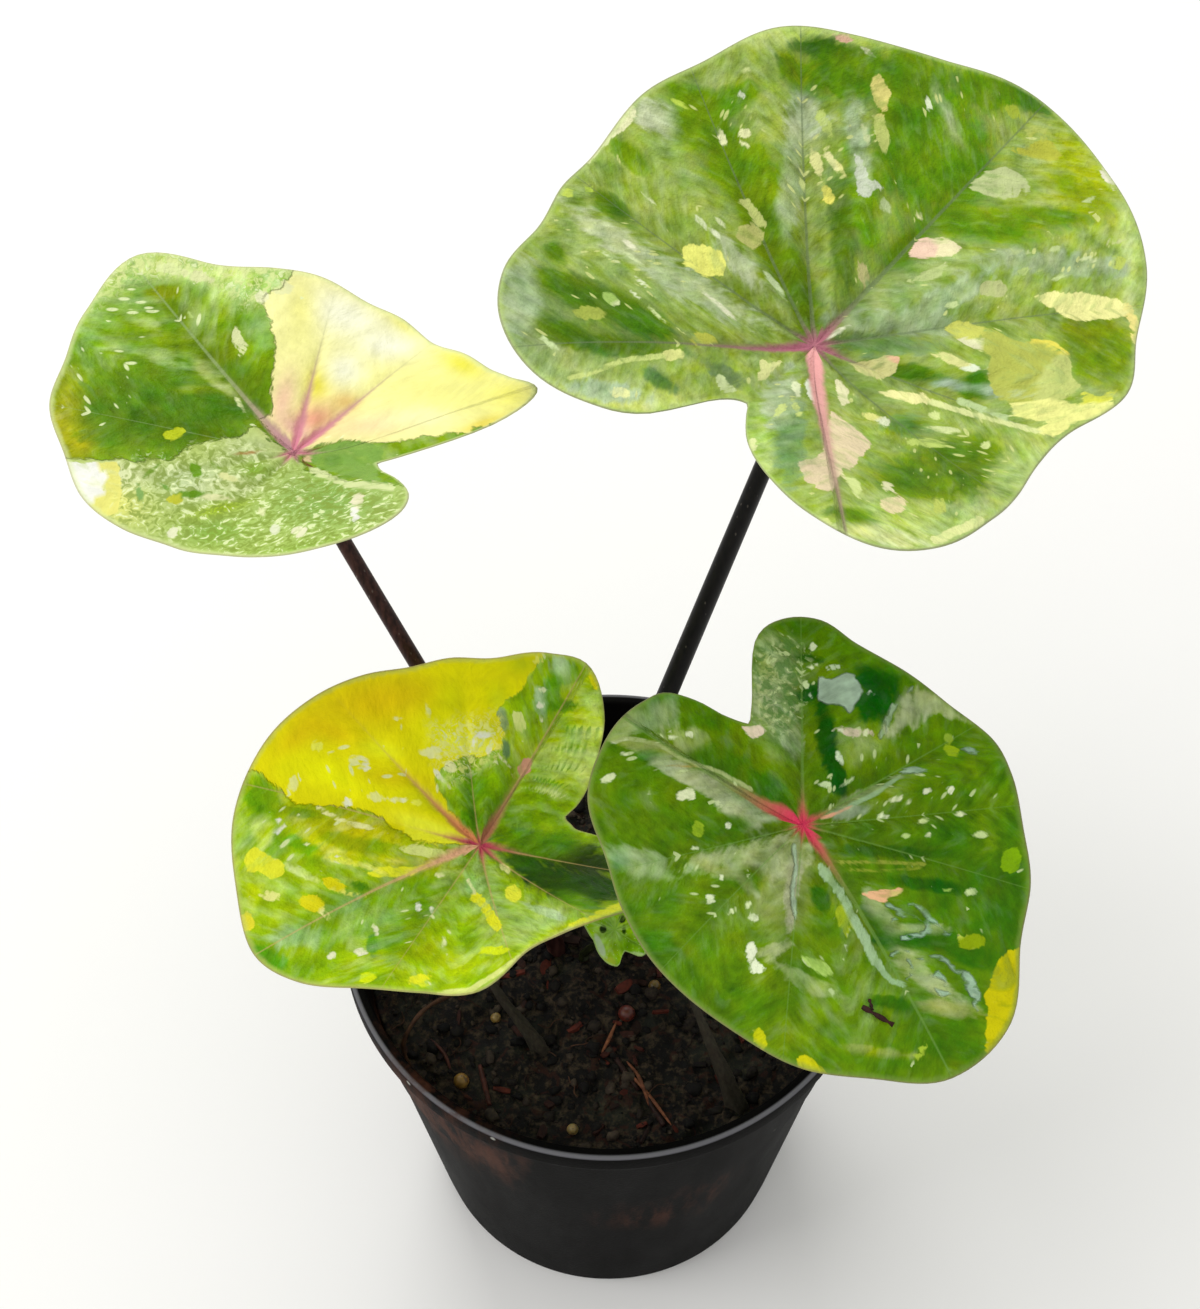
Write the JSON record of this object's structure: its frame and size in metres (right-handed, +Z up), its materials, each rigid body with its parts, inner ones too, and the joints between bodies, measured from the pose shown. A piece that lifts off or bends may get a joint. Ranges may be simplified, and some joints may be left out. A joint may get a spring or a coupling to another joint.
{
  "type": "potted caladium",
  "caption": "House plant in a round plastic nursery pot, with large variegated heart-shaped leaves on upright stalks; stands on its flat base.",
  "frame": {"origin": "centre of the pot's underside, on the surface that it stands on", "axes": "+Z up along the pot's axis; -Y towards the viewer of the picture; +X to the viewer's right"},
  "size_m": [0.2826, 0.2664, 0.3264],
  "materials": {
    "pot_plastic": "black injection-moulded polypropylene, matte, with mud stains",
    "potting_soil": "damp peat and bark mix with fertiliser beads",
    "tuber_skin": "rough brown corky skin",
    "leaf_1_green": "satin green leaf with cream and pink blotches",
    "leaf_2_green": "satin leaf, one side green, one side cream-yellow",
    "leaf_3_green": "satin leaf, golden yellow and green",
    "leaf_4_green": "glossy wet dark green leaf with pink veins",
    "young_leaf_green": "light green young leaf",
    "leaf_1_stalk_skin": "near-black smooth stalk",
    "leaf_2_stalk_skin": "dark purple-brown smooth stalk",
    "leaf_3_stalk_skin": "dark purple-brown smooth stalk",
    "leaf_4_stalk_skin": "near-black smooth stalk",
    "young_leaf_stalk_skin": "light green thin stalk",
    "old_stalk_left_skin": "dry grey-green withered stalk",
    "old_stalk_right_skin": "dry grey-brown withered stalk"
  },
  "bodies": {
    "root": {"pot": "pot_plastic", "soil": "potting_soil", "tuber": "tuber_skin", "leaf_1_blade": "leaf_1_green", "leaf_1_stalk": "leaf_1_stalk_skin", "leaf_2_blade": "leaf_2_green", "leaf_2_stalk": "leaf_2_stalk_skin", "leaf_3_blade": "leaf_3_green", "leaf_3_stalk": "leaf_3_stalk_skin", "leaf_4_blade": "leaf_4_green", "leaf_4_stalk": "leaf_4_stalk_skin", "young_leaf_blade": "young_leaf_green", "young_leaf_stalk": "young_leaf_stalk_skin", "old_stalk_left": "old_stalk_left_skin", "old_stalk_right": "old_stalk_right_skin"}
  },
  "joints": []
}
